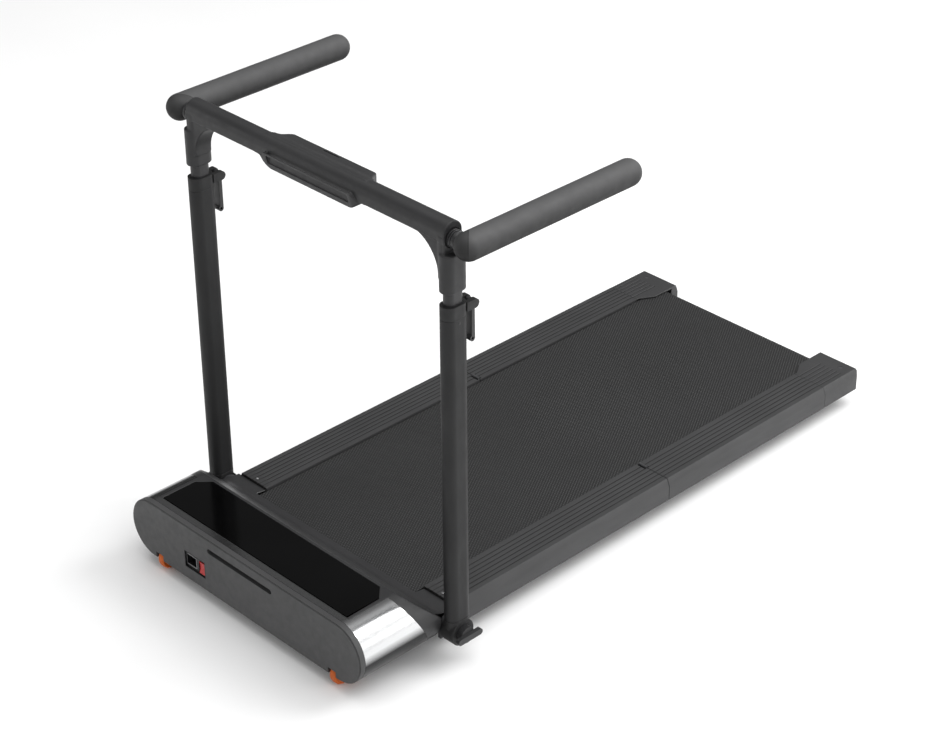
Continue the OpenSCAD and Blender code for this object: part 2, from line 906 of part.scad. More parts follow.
// Belly under the bar with a lip in front that holds a phone or tablet upright
module device_fence() {
    bar_face = mast_y - bar_r;
    lip_in = bar_face - slot_w;
    color([0.25, 0.25, 0.26]) placed() difference() {
        intersection() {
            along_x(-fence_half - 36, fence_half + 36) polygon([
                [lip_in - 2.5, fence_z1], [bar_face, fence_z1], [bar_face, bar_z0],
                [mast_y + 19, bar_z0], [mast_y + 19, fence_z0], [bar_face + 0.5, fence_z0]
            ]);
            along_y(lip_in - 5, mast_y + 20) polygon([
                [-fence_half - 35, bar_z0 + 1], [-fence_half - 35, bar_z0 - 2],
                [-fence_half - 22, bar_z0 - 6], [-fence_half - 8, fence_z0 + 3],
                [-fence_half + 2, fence_z0 - 1], [fence_half - 2, fence_z0 - 1],
                [fence_half + 8, fence_z0 + 3], [fence_half + 22, bar_z0 - 6],
                [fence_half + 35, bar_z0 - 2], [fence_half + 35, bar_z0 + 1],
                [fence_half + 5, bar_z0 + 1], [fence_half + 5, fence_z1 + 1],
                [-fence_half - 5, fence_z1 + 1], [-fence_half - 5, bar_z0 + 1]
            ]);
        }
        box([-fence_half, fence_half], [lip_in, bar_face + 0.2], [slot_z0, fence_z1 + 1]);
    }
}

// ---- grips ----

module grip_core_shape() {
    rod_x(bar_half + 0.4, grip_x, mast_y, grip_z, hub_r);
    rod_x(bar_half - 31, bar_half + 1, mast_y, grip_z, hub_pin_r);
    translate([grip_x, mast_y - 3, grip_z]) rotate([-90, 0, 0]) difference() {
        cylinder(h = grip_len, r = core_r);
        translate([0, 0, 30]) cylinder(h = grip_len, r = core_r - 2);
    }
}

module grip_pad_shape() {
    y0 = mast_y - 3;
    difference() {
        union() {
            translate([grip_x, y0, grip_z]) sphere(grip_r);
            translate([grip_x, y0 + grip_len, grip_z]) sphere(grip_r);
            translate([grip_x, y0, grip_z]) rotate([-90, 0, 0])
                cylinder(h = grip_len, r = grip_r);
        }
        rod_x(bar_half, grip_x, mast_y, grip_z, hub_r);
        translate([grip_x, y0, grip_z]) rotate([-90, 0, 0])
            cylinder(h = grip_len, r = core_r);
    }
}

module grip_pad_left() {
    color([0.25, 0.25, 0.25]) placed() grip_pad_shape();
}

module grip_pad_right() {
    color([0.25, 0.25, 0.25]) placed() on_side(-1) grip_pad_shape();
}

module grip_core_left() {
    color("dimgray") placed() grip_core_shape();
}

module grip_core_right() {
    color("dimgray") placed() on_side(-1) grip_core_shape();
}

// ---- turning and rocking pieces in the base ----

module transport_wheel() {
    difference() {
        union() {
            rod_x(wheel_x - wheel_w / 2, wheel_x + wheel_w / 2, wheel_y, wheel_z, wheel_r - 2);
            rod_x(wheel_x - wheel_w / 2 + 2, wheel_x + wheel_w / 2 - 2, wheel_y, wheel_z, wheel_r);
        }
        rod_x(wheel_x - 20, wheel_x + 20, wheel_y, wheel_z, wheel_axle_r + run_clear);
    }
}

module wheel_left() {
    color([0.9, 0.42, 0.12]) placed() transport_wheel();
}

module wheel_right() {
    color([0.9, 0.42, 0.12]) placed() on_side(-1) transport_wheel();
}

// Steel tube with an end plug at each end that runs on the axle
module roller(y) {
    difference() {
        rod_x(-belt_half - 3, belt_half + 3, y, roller_z, roller_r);
        rod_x(-belt_half - 4, belt_half + 4, y, roller_z, axle_r + run_clear);
        rod_x(30 - belt_half, belt_half - 30, y, roller_z, roller_r - 3);
    }
}

module front_roller() {
    color("silver") placed() {
        roller(front_roller_y);
        difference() {
            union() {
                rod_x(pulley_x, pulley_x + pulley_w, front_roller_y, roller_z, roller_pulley_r);
                rod_x(pulley_x + pulley_w, -belt_half - 3, front_roller_y, roller_z, 14);
            }
            rod_x(pulley_x - 1, 0, front_roller_y, roller_z, axle_r + run_clear);
        }
    }
}

module rear_roller() {
    color("silver") placed() roller(rear_roller_y);
}

// Motor shaft with its pulley, armature end and flywheel
module motor_rotor() {
    color("silver") placed() {
        rod_x(pulley_x, -60, motor_y, motor_z, 5);
        rod_x(pulley_x, pulley_x + pulley_w, motor_y, motor_z, motor_pulley_r);
        rod_x(-74, -60, motor_y, motor_z, 44);
    }
}

// Mains switch that rocks about a crosswise axis
module power_rocker() {
    color("red") placed() {
        difference() {
            box([rocker_x - 8.5, rocker_x + 8.5], [rocker_y - 11, rocker_y + 8],
                [inlet_z - 13.5, inlet_z + 13.5]);
            rod_x(rocker_x - 10, rocker_x + 10, rocker_y - 55, inlet_z, 46);
        }
        rod_x(rocker_x - 9.6, rocker_x + 9.6, rocker_y, inlet_z, rocker_pin_r);
    }
}

front_frame();
front_board();
front_cushions();
rail_front_left();
rail_front_right();
belly_pan();
hood();
trim_skin();
front_fascia();
display_panel();
display_board();
inlet_socket();
motor_case();
motor_bracket();
controller_board();
drive_belt();
belt_front();
front_feet();
front_axle();
wheel_axles();
pivot_brackets();
front_screws();
front_hinges();
rear_frame();
rear_board();
rear_cushions();
rail_rear_left();
rail_rear_right();
end_cap_left();
end_cap_right();
belt_rear();
rear_axle();
tension_bolts();
rear_feet();
rear_screws();
rear_hinges();
upright_left();
upright_right();
mast_feet();
collar_left();
collar_right();
inner_tubes();
crossbar();
console_pod();
device_fence();
grip_pad_left();
grip_pad_right();
grip_core_left();
grip_core_right();
lever_left();
lever_right();
knob_left();
knob_right();
wheel_left();
wheel_right();
front_roller();
rear_roller();
motor_rotor();
power_rocker();
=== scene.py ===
import json
import math

import bmesh
import bpy
import numpy as np
from mathutils import Matrix, Vector


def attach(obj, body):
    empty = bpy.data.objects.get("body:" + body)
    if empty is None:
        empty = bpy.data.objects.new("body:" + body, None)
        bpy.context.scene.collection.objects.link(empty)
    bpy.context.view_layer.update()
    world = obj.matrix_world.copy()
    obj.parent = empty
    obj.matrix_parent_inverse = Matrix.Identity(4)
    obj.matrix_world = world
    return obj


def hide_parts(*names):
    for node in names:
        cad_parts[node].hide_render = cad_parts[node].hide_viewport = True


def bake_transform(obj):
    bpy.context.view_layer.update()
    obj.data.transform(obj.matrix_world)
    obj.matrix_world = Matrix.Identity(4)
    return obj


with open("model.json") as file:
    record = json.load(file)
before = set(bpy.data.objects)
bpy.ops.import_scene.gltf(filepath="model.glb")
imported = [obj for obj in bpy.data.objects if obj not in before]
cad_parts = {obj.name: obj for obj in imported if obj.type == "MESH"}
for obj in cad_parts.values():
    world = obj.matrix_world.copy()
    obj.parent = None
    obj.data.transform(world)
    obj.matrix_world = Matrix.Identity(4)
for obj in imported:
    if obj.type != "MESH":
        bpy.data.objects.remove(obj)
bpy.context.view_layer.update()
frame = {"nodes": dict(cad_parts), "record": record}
nodes = frame["nodes"]

# ---------------------------------------------------------------- dimensions of the CAD, in mm
MM = 0.001
FOLD = 120.0                              # y of the fold, which other places are given from
DECK_TOP, RAIL_IN = 88.5, 234.0
GROOVE_FIRST, GROOVE_PITCH, GROOVE_LAST = RAIL_IN + 13, 11.0, RAIL_IN + 70
GROOVE_END_Y, CAP_SEAM_Y = 580 + FOLD, 505.2 + FOLD
HEAD_Y = -866 + FOLD
FRONT_ROLLER_Y, REAR_ROLLER_Y, ROLLER_Z = -668 + FOLD, 580 + FOLD, 63.6
MAST_Y, UPRIGHT_X = -631 + FOLD, 350.0
OUTER_TUBE, OUTER_WALL, OUTER_Z = (34, 52), 2.5, (92, 742)
INNER_TUBE, INNER_WALL, INNER_Z = (24, 38), 2.0, (560, 865)
BAR_Z0, BAR_R, BAR_FLAT, BAR_HALF = 892.0, 21.5, 15.0, 353.0
LEG_Z0, LEG_STEP_Z, WEB_R = 795.0, 870.0, 75.0
POD_HALF, POD_Y1, POD_Z0, POD_Z1 = 111.0, -587 + FOLD, 899.0, 920.5
BELLY_HALF, BELLY_Z0, BELLY_Z1 = 111.0, 871.0, 906.0
BAR_FACE, SLOT_W, SLOT_Z0 = MAST_Y - BAR_R, 6.0, 884.0
GRIP_X, GRIP_Y0, GRIP_Z = 394.0, MAST_Y - 3, 896.5
GRIP_R, GRIP_LEN = 26.5, 396.0
INLET_X, INLET_Z, SOCKET_X = -143.5, 76.0, -157.0
WHEEL_X, WHEEL_Y, WHEEL_Z = 259.0, -842 + FOLD, 25.5

# ---------------------------------------------------------------- camera
AZ, EL, ROLL = math.radians(46.23), math.radians(31.16), math.radians(-0.49)
CAMERA_AT = Vector((2.9815, -2.9941, 2.8191))


def make_camera():
    back = Vector((math.sin(AZ) * math.cos(EL), -math.cos(AZ) * math.cos(EL), math.sin(EL)))
    right = Vector((math.cos(AZ), math.sin(AZ), 0.0))
    up = back.cross(right)
    c, s = math.cos(ROLL), math.sin(ROLL)
    axis_x = c * right + s * up
    axis_y = c * up - s * right
    cam = bpy.data.objects.new("camera", bpy.data.cameras.new("camera"))
    bpy.context.scene.collection.objects.link(cam)
    turn = Matrix((axis_x, axis_y, back)).transposed().to_4x4()
    cam.matrix_world = Matrix.Translation(CAMERA_AT) @ turn
    cam.data.sensor_width = 36.0
    cam.data.sensor_fit = "HORIZONTAL"
    cam.data.lens = 92.05
    cam.data.clip_start, cam.data.clip_end = 0.1, 60.0
    bpy.context.scene.camera = cam


make_camera()


# ---------------------------------------------------------------- materials
def nodes_of(name):
    m = bpy.data.materials.new(name)
    m.use_nodes = True
    t = m.node_tree
    t.nodes.clear()
    out = t.nodes.new("ShaderNodeOutputMaterial")
    bsdf = t.nodes.new("ShaderNodeBsdfPrincipled")
    t.links.new(bsdf.outputs[0], out.inputs[0])
    return m, t, bsdf


def coords(t, scale=(1, 1, 1)):
    tc = t.nodes.new("ShaderNodeTexCoord")
    mp = t.nodes.new("ShaderNodeMapping")
    mp.inputs["Scale"].default_value = scale
    t.links.new(tc.outputs["Object"], mp.inputs["Vector"])
    return mp.outputs["Vector"]


def noise(t, vec, scale, detail=3.0, rough=0.5):
    n = t.nodes.new("ShaderNodeTexNoise")
    n.inputs["Scale"].default_value = scale
    n.inputs["Detail"].default_value = detail
    n.inputs["Roughness"].default_value = rough
    t.links.new(vec, n.inputs["Vector"])
    return n.outputs["Fac"]


def spread(t, fac, lo, hi, from_lo=0.3, from_hi=0.7):
    r = t.nodes.new("ShaderNodeMapRange")
    r.inputs["From Min"].default_value = from_lo
    r.inputs["From Max"].default_value = from_hi
    r.inputs["To Min"].default_value = lo
    r.inputs["To Max"].default_value = hi
    t.links.new(fac, r.inputs["Value"])
    return r.outputs["Result"]


def two_colours(t, fac, a, b):
    mix = t.nodes.new("ShaderNodeMix")
    mix.data_type = "RGBA"
    mix.inputs["A"].default_value = (*a, 1)
    mix.inputs["B"].default_value = (*b, 1)
    t.links.new(fac, mix.inputs["Factor"])
    return mix.outputs["Result"]


def math_node(t, op, a, b=None):
    n = t.nodes.new("ShaderNodeMath")
    n.operation = op
    for i, v in enumerate((a, b)):
        if isinstance(v, float):
            n.inputs[i].default_value = v
        elif v is not None:
            t.links.new(v, n.inputs[i])
    return n.outputs[0]


def object_xyz(t):
    tc = t.nodes.new("ShaderNodeTexCoord")
    sep = t.nodes.new("ShaderNodeSeparateXYZ")
    t.links.new(tc.outputs["Object"], sep.inputs[0])
    return sep.outputs["X"], sep.outputs["Y"], sep.outputs["Z"]


def darken(t, bsdf, fac, dark):
    """Darkens the base colour to the share dark where fac is 1."""
    mix = t.nodes.new("ShaderNodeMix")
    mix.data_type = "RGBA"
    mix.blend_type = "MULTIPLY"
    mix.inputs["B"].default_value = (dark, dark, dark, 1)
    link = bsdf.inputs["Base Color"].links[0]
    t.links.new(link.from_socket, mix.inputs["A"])
    t.links.new(fac, mix.inputs["Factor"])
    t.links.new(mix.outputs["Result"], bsdf.inputs["Base Color"])


def grooved(m):
    """Adds painted shade: dark lines in the rails' grooves, at the seam at the fold and beside the
    end caps.
    """
    t = m.node_tree
    bsdf = next(n for n in t.nodes if n.type == "BSDF_PRINCIPLED")
    x, y, z = object_xyz(t)
    ax = math_node(t, "ABSOLUTE", x)
    off = math_node(t, "PINGPONG", math_node(t, "SUBTRACT", ax, GROOVE_FIRST * MM),
                    GROOVE_PITCH / 2 * MM)
    # painted shade: dark lines in the bottoms of the rails' grooves
    groove_shade = spread(t, off, 1, 0, 0.0008, 0.0016)
    within = (spread(t, ax, 1, 0, (GROOVE_LAST - 0.5) * MM, GROOVE_LAST * MM),
              spread(t, ax, 0, 1, (GROOVE_FIRST - 2.5) * MM, (GROOVE_FIRST - 2) * MM),
              spread(t, z, 0, 1, (DECK_TOP - 1.3) * MM, (DECK_TOP - 1.1) * MM),
              spread(t, y, 1, 0, (GROOVE_END_Y - 1) * MM, GROOVE_END_Y * MM))
    for limit in within:
        groove_shade = math_node(t, "MULTIPLY", groove_shade, limit)
    # painted shade: dark lines at the seam at the fold and at the seam beside the end caps
    fold_seam_shade = spread(t, math_node(t, "ABSOLUTE", math_node(t, "SUBTRACT", y, FOLD * MM)), 1, 0,
                  0.0009, 0.0016)
    cap_seam_shade = spread(t, math_node(t, "ABSOLUTE", math_node(t, "SUBTRACT", y, CAP_SEAM_Y * MM)),
                 0.7, 0, 0.0003, 0.0009)
    darken(t, bsdf, math_node(t, "MAXIMUM", groove_shade, math_node(t, "MAXIMUM", fold_seam_shade, cap_seam_shade)), 0.16)
    return m


def foam(m):
    """Adds a dark elbow up to the mitre at the front of the foam, and painted shade underneath.

    The shade stands in for weak light from below and isn't a colour of the foam.
    """
    t = m.node_tree
    bsdf = next(n for n in t.nodes if n.type == "BSDF_PRINCIPLED")
    x, y, z = object_xyz(t)
    darken(t, bsdf, spread(t, z, 1, 0, (GRIP_Z - 14.5) * MM, (GRIP_Z + 20.5) * MM), 0.1)
    mitre = (GRIP_X + GRIP_Y0) * MM
    across = math_node(t, "ADD", math_node(t, "ABSOLUTE", x), y)
    darken(t, bsdf, spread(t, across, 1, 0, mitre - 0.0005, mitre + 0.0005), 0.5)
    off = math_node(t, "ABSOLUTE", math_node(t, "SUBTRACT", across, mitre))
    darken(t, bsdf, spread(t, off, 1, 0, 0.0006, 0.0014), 0.3)
    return m


def bump(t, bsdf, height, strength, distance, before=None):
    """Raises the surface by height, on top of an earlier bump if there is one."""
    b = t.nodes.new("ShaderNodeBump")
    b.inputs["Strength"].default_value = strength
    b.inputs["Distance"].default_value = distance
    t.links.new(height, b.inputs["Height"])
    if before is not None:
        t.links.new(before, b.inputs["Normal"])
    t.links.new(b.outputs["Normal"], bsdf.inputs["Normal"])
    return b.outputs["Normal"]


def plain(name, colour, rough, grain=900.0, grain_depth=0.00006, vary=0.16, metal=0.0,
          rough_vary=0.08, spec=0.5, stretch=(1, 1, 1), wear=0.0):
    """A moulded, painted or metal surface: mottled colour, uneven gloss and a fine grain."""
    m, t, bsdf = nodes_of(name)
    vec = coords(t)
    big = noise(t, vec, 9.0, 4.0)
    dark = [c * (1 - vary) for c in colour]
    light = [min(1.0, c * (1 + vary)) for c in colour]
    col = two_colours(t, spread(t, big, 0, 1), dark, light)
    if wear > 0:
        geo = t.nodes.new("ShaderNodeNewGeometry")
        edge = spread(t, geo.outputs["Pointiness"], 0, wear, 0.515, 0.58)
        mix = t.nodes.new("ShaderNodeMix")
        mix.data_type = "RGBA"
        mix.inputs["B"].default_value = (*[min(1.0, c * 2.2 + 0.02) for c in colour], 1)
        t.links.new(col, mix.inputs["A"])
        t.links.new(edge, mix.inputs["Factor"])
        col = mix.outputs["Result"]
    t.links.new(col, bsdf.inputs["Base Color"])
    streak = noise(t, coords(t, stretch), 60.0, 5.0, 0.6)
    t.links.new(spread(t, streak, rough - rough_vary, rough + rough_vary),
                bsdf.inputs["Roughness"])
    bsdf.inputs["Metallic"].default_value = metal
    bsdf.inputs["Specular IOR Level"].default_value = spec
    bump(t, bsdf, noise(t, coords(t, stretch), grain, 2.0), 0.6, grain_depth)
    return m


def running_belt_material():
    """Black sheet with rows of small raised lozenges, each row set off by half a pitch."""
    m, t, bsdf = nodes_of("running_belt")
    pitch_x, pitch_y = 0.0062, 0.0105
    x, y, _ = object_xyz(t)
    u = math_node(t, "DIVIDE", x, pitch_x)
    v = math_node(t, "DIVIDE", y, pitch_y)
    a = math_node(t, "PINGPONG", math_node(t, "ADD", u, v), 0.5)
    b = math_node(t, "PINGPONG", math_node(t, "SUBTRACT", u, v), 0.5)
    lozenge = math_node(t, "MULTIPLY", math_node(t, "MULTIPLY", a, b), 4.0)
    raised = spread(t, lozenge, 0, 1, 0.12, 0.55)
    vec = coords(t)
    col = two_colours(t, raised, (0.0045, 0.0045, 0.0047), (0.03, 0.03, 0.0305))
    worn = two_colours(t, spread(t, noise(t, vec, 5.0, 5.0), 0, 1), (0.86, 0.86, 0.86),
                       (1.12, 1.12, 1.12))
    mul = t.nodes.new("ShaderNodeMix")
    mul.data_type = "RGBA"
    mul.blend_type = "MULTIPLY"
    mul.inputs["Factor"].default_value = 1.0
    t.links.new(col, mul.inputs["A"])
    t.links.new(worn, mul.inputs["B"])
    t.links.new(mul.outputs["Result"], bsdf.inputs["Base Color"])
    t.links.new(spread(t, noise(t, vec, 40.0, 4.0), 0.5, 0.62), bsdf.inputs["Roughness"])
    bsdf.inputs["Specular IOR Level"].default_value = 0.45
    first = bump(t, bsdf, raised, 1.0, 0.0007)
    bump(t, bsdf, noise(t, vec, 1400.0, 2.0), 0.4, 0.00005, first)
    return m


def trim_material():
    """Polished metal skin with faint lengthwise drawing lines.

    Its dark bands, low and high, are painted: they stand in for what the metal would mirror.
    """
    m, t, bsdf = nodes_of("polished_trim")
    vec = coords(t, (30, 1.5, 30))
    lines = noise(t, vec, 60.0, 4.0, 0.6)
    height = object_xyz(t)[2]
    # painted reflection: dark bands low and high on the polished skin, set by height
    low = spread(t, height, 0, 1, 0.086, 0.106)
    high = spread(t, height, 1, 0.24, 0.1425, 0.1515)
    painted_reflection = math_node(t, "MULTIPLY", low, high)
    col = two_colours(t, painted_reflection, (0.022, 0.022, 0.023), (0.74, 0.745, 0.75))
    t.links.new(col, bsdf.inputs["Base Color"])
    t.links.new(spread(t, low, 0.55, 1.0, 0.0, 1.0), bsdf.inputs["Metallic"])
    bsdf.inputs["Specular IOR Level"].default_value = 0.2
    t.links.new(spread(t, lines, 0.16, 0.27), bsdf.inputs["Roughness"])
    bump(t, bsdf, lines, 0.12, 0.00004)
    return m


def deck_board_material():
    """Near-black plywood with faint rings."""
    m, t, bsdf = nodes_of("deck_board")
    rings = t.nodes.new("ShaderNodeTexWave")
    rings.inputs["Scale"].default_value = 60.0
    rings.inputs["Distortion"].default_value = 4.0
    rings.inputs["Detail"].default_value = 3.0
    t.links.new(coords(t, (0.2, 1, 6)), rings.inputs["Vector"])
    t.links.new(two_colours(t, rings.outputs["Fac"], (0.014, 0.013, 0.012), (0.03, 0.027, 0.025)),
                bsdf.inputs["Base Color"])
    bsdf.inputs["Roughness"].default_value = 0.6
    bump(t, bsdf, rings.outputs["Fac"], 0.3, 0.0001)
    return m


def circuit_board_material():
    """Green board with a fine grid of tracks."""
    m, t, bsdf = nodes_of("circuit_board")
    cells = t.nodes.new("ShaderNodeTexBrick")
    cells.inputs["Scale"].default_value = 90.0
    cells.inputs["Color1"].default_value = (0.01, 0.10, 0.035, 1)
    cells.inputs["Color2"].default_value = (0.015, 0.13, 0.045, 1)
    cells.inputs["Mortar"].default_value = (0.05, 0.2, 0.08, 1)
    cells.inputs["Mortar Size"].default_value = 0.012
    t.links.new(coords(t), cells.inputs["Vector"])
    t.links.new(cells.outputs["Color"], bsdf.inputs["Base Color"])
    bsdf.inputs["Roughness"].default_value = 0.35
    bump(t, bsdf, cells.outputs["Fac"], 0.3, 0.00005)
    return m


# one material for each slot in the record
MATS = {
    "frame_steel": plain("frame_steel", (0.03, 0.03, 0.032), 0.45, 500, 0.00005, wear=0.25),
    "deck_board": deck_board_material(),
    "black_rubber": plain("black_rubber", (0.02, 0.02, 0.02), 0.75, 700, 0.0001),
    "rail_plastic": grooved(plain("rail_plastic", (0.032, 0.032, 0.033), 0.5, 1100, 0.00008,
                                  0.12, stretch=(1, 0.15, 1))),
    "cap_plastic": grooved(plain("cap_plastic", (0.029, 0.029, 0.03), 0.5, 1100, 0.00008,
                                 0.12)),
    "pan_plastic": plain("pan_plastic", (0.02, 0.02, 0.021), 0.6, 700, 0.0001),
    "hood_plastic": plain("hood_plastic", (0.02, 0.02, 0.021), 0.42, 1000, 0.00005, 0.12),
    "polished_trim": trim_material(),
    "fascia_plastic": plain("fascia_plastic", (0.045, 0.045, 0.046), 0.55, 1200, 0.00006, 0.06),
    "panel_glass": plain("panel_glass", (0.0012, 0.0012, 0.0013), 0.12, 4, 0.00002, 0.3,
                         rough_vary=0.02, spec=0.12),
    "circuit_board": circuit_board_material(),
    "inlet_plastic": plain("inlet_plastic", (0.008, 0.008, 0.0085), 0.35, 900, 0.00004),
    "motor_steel": plain("motor_steel", (0.35, 0.35, 0.36), 0.35, 500, 0.00003, 0.1, metal=1.0,
                         stretch=(0.1, 1, 1)),
    "drive_rubber": plain("drive_rubber", (0.015, 0.015, 0.015), 0.7, 800, 0.0001),
    "running_belt": running_belt_material(),
    "bright_steel": plain("bright_steel", (0.5, 0.5, 0.51), 0.3, 600, 0.00003, 0.1, metal=1.0,
                          stretch=(0.2, 1, 1)),
    "mast_paint": plain("mast_paint", (0.016, 0.016, 0.0165), 0.55, 1000, 0.00006, 0.12,
                        spec=0.3, stretch=(1, 1, 0.3)),
    "collar_plastic": plain("collar_plastic", (0.015, 0.015, 0.0155), 0.55, 900, 0.00008,
                            spec=0.35),
    "inner_tube_metal": plain("inner_tube_metal", (0.016, 0.016, 0.017), 0.42, 700, 0.00004,
                              stretch=(1, 1, 0.1)),
    "bar_plastic": plain("bar_plastic", (0.021, 0.021, 0.022), 0.5, 1100, 0.00007, 0.12,
                         spec=0.42),
    "console_plastic": plain("console_plastic", (0.024, 0.024, 0.025), 0.5, 1100, 0.00007),
    "grip_foam": foam(plain("grip_foam", (0.066, 0.066, 0.067), 0.62, 650, 0.00012, 0.08,
                            spec=0.35)),
    "lever_plastic": plain("lever_plastic", (0.016, 0.016, 0.017), 0.42, 900, 0.00006),
    "wheel_orange": plain("wheel_orange", (0.5, 0.1, 0.012), 0.45, 500, 0.00005, 0.08,
                          spec=0.3),
    "switch_red": plain("switch_red", (0.42, 0.012, 0.012), 0.3, 500, 0.00002, 0.08),
}


# ---------------------------------------------------------------- mesh helpers
def finish_mesh(name, bm, slot, body=None, replaces=(), angle=32.0):
    """Makes the object: smooth below the angle, in its slot, riding its body."""
    bmesh.ops.recalc_face_normals(bm, faces=bm.faces)
    limit = math.radians(angle)
    for f in bm.faces:
        f.smooth = True
    for e in bm.edges:
        if len(e.link_faces) == 2:
            e.smooth = e.calc_face_angle(0.0) < limit
    me = bpy.data.meshes.new(name)
    bm.to_mesh(me)
    bm.free()
    o = bpy.data.objects.new(name, me)
    bpy.context.scene.collection.objects.link(o)
    me.materials.append(MATS[slot])
    if body:
        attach(o, body)
    if replaces:
        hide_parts(*replaces)
    return o


def weigh(o):
    mod = o.modifiers.new("weighted", "WEIGHTED_NORMAL")
    mod.keep_sharp = True
    return o


def round_edges(bm, width, steps=2, angle=30.0, shortest=0.0016):
    limit = math.radians(angle)
    edges = [e for e in bm.edges if len(e.link_faces) == 2
             and e.calc_face_angle_signed(0.0) > limit and e.calc_length() > shortest]
    if edges:
        bmesh.ops.bevel(bm, geom=edges, offset=width, segments=steps, profile=0.6,
                        affect="EDGES", clamp_overlap=False, offset_type="OFFSET")


def cad_bmesh(node):
    """A copy of a CAD node's mesh without the lines across its flat faces."""
    bm = bmesh.new()
    bm.from_mesh(nodes[node].data)
    bmesh.ops.remove_doubles(bm, verts=bm.verts, dist=2e-6)
    bmesh.ops.dissolve_limit(bm, angle_limit=math.radians(0.6), verts=bm.verts, edges=bm.edges,
                             use_dissolve_boundaries=False)
    return bm


def refined(node, slot, body, width=0.0006, steps=2):
    """A CAD node's shape with its sharp edges rounded, as a piece of its own."""
    bm = cad_bmesh(node)
    round_edges(bm, width, steps)
    return weigh(finish_mesh(node + "_v", bm, slot, body, [node]))


def add_rings(bm, rings, looped=False):
    """Joins rings of points, all with one count, and caps both ends or loops back round."""
    loops = [[bm.verts.new(p) for p in ring] for ring in rings]
    following = loops[1:] + loops[:1] if looped else loops[1:]
    n = len(loops[0])
    for a, b in zip(loops, following):
        for i in range(n):
            j = (i + 1) % n
            bm.faces.new((a[i], a[j], b[j], b[i]))
    if not looped:
        bm.faces.new(list(reversed(loops[0])))
        bm.faces.new(loops[-1])


def lathe(bm, profile, centre, axis, turns=64):
    """Closed turned body: profile is (along, radius) from one end to the other."""
    c = Vector(centre)
    d = Vector(axis).normalized()
    a = d.orthogonal().normalized()
    b = d.cross(a)
    rings = []
    for along, r in profile:
        rings.append([c + d * along + (a * math.cos(k) + b * math.sin(k)) * r
                      for k in (2 * math.pi * i / turns for i in range(turns))])
    add_rings(bm, rings)


def obround(cx, cy, w, l, n=24):
    """Outline of an upright-shaped tube: round at both Y ends."""
    r = w / 2
    h = l / 2 - r
    pts = []
    for s, start in ((1, 0.0), (-1, math.pi)):
        for i in range(n + 1):
            k = start + math.pi * i / n
            pts.append((cx + r * math.cos(k), cy + s * h + r * math.sin(k)))
    return pts


# ---------------------------------------------------------------- smooth solids from distances
def smin(a, b, k):
    h = np.clip(0.5 + 0.5 * (b - a) / k, 0, 1)
    return b * (1 - h) + a * h - k * h * (1 - h)


def smax(a, b, k):
    return -smin(-a, -b, k)


def sd_box(x, y, z, lo, hi, r=0.0):
    qx = np.abs(x - (lo[0] + hi[0]) / 2) - (hi[0] - lo[0]) / 2 + r
    qy = np.abs(y - (lo[1] + hi[1]) / 2) - (hi[1] - lo[1]) / 2 + r
    qz = np.abs(z - (lo[2] + hi[2]) / 2) - (hi[2] - lo[2]) / 2 + r
    out = np.sqrt(np.maximum(qx, 0) ** 2 + np.maximum(qy, 0) ** 2 + np.maximum(qz, 0) ** 2)
    return out + np.minimum(np.maximum(qx, np.maximum(qy, qz)), 0) - r


def surface_net(f, lo, hi, step, polish=3):
    """Quads over the zero level of f, with every point moved onto it."""
    axes = [np.arange(lo[i], hi[i] + step, step) for i in range(3)]
    gx, gy, gz = np.meshgrid(*axes, indexing="ij")
    d = f(gx, gy, gz)
    inside = d < 0
    shape = [len(a) - 1 for a in axes]
    total = np.zeros(shape, np.int32)
    for i in (0, 1):
        for j in (0, 1):
            for k in (0, 1):
                total += inside[i:i + shape[0], j:j + shape[1], k:k + shape[2]]
    mixed = (total > 0) & (total < 8)
    index = -np.ones(shape, np.int64)
    cells = np.argwhere(mixed)
    index[mixed] = np.arange(len(cells))
    acc = np.zeros((len(cells), 3))
    num = np.zeros(len(cells))
    corners = [(i, j, k) for i in (0, 1) for j in (0, 1) for k in (0, 1)]
    for c0 in corners:
        for ax in range(3):
            if c0[ax]:
                continue
            c1 = list(c0)
            c1[ax] = 1
            p0, p1 = cells + np.array(c0), cells + np.array(c1)
            d0, d1 = d[tuple(p0.T)], d[tuple(p1.T)]
            cross = (d0 < 0) != (d1 < 0)
            share = np.where(cross, d0 / np.where(cross, d0 - d1, 1), 0)
            p = p0 + share[:, None] * (p1 - p0)
            acc += np.where(cross[:, None], p, 0)
            num += cross
    pts = np.array(lo) + acc / num[:, None] * step
    for _ in range(polish):
        e = step * 0.1
        x, y, z = pts.T
        v = f(x, y, z)
        g = np.stack([f(x + e, y, z) - v, f(x, y + e, z) - v, f(x, y, z + e) - v], 1) / e
        move = (v / np.maximum((g ** 2).sum(1), 0.2))[:, None] * g
        pts = pts - np.clip(move, -0.5 * step, 0.5 * step)
    quads = []
    for ax in range(3):
        o1, o2 = [a for a in range(3) if a != ax]
        take0, take1 = [slice(None)] * 3, [slice(None)] * 3
        take0[ax], take1[ax] = slice(0, -1), slice(1, None)
        a, b = inside[tuple(take0)], inside[tuple(take1)]
        for flip, where in ((False, a & ~b), (True, ~a & b)):
            e = np.argwhere(where)
            e = e[(e[:, o1] > 0) & (e[:, o2] > 0) & (e[:, o1] < shape[o1]) & (e[:, o2] < shape[o2])]
            ring = []
            for s1, s2 in ((1, 1), (0, 1), (0, 0), (1, 0)):
                c = e.copy()
                c[:, o1] -= s1
                c[:, o2] -= s2
                ring.append(index[tuple(c.T)])
            q = np.stack(ring, 1)
            if flip != (ax == 1):
                q = q[:, ::-1]
            quads.append(q)
    return pts, np.concatenate(quads)


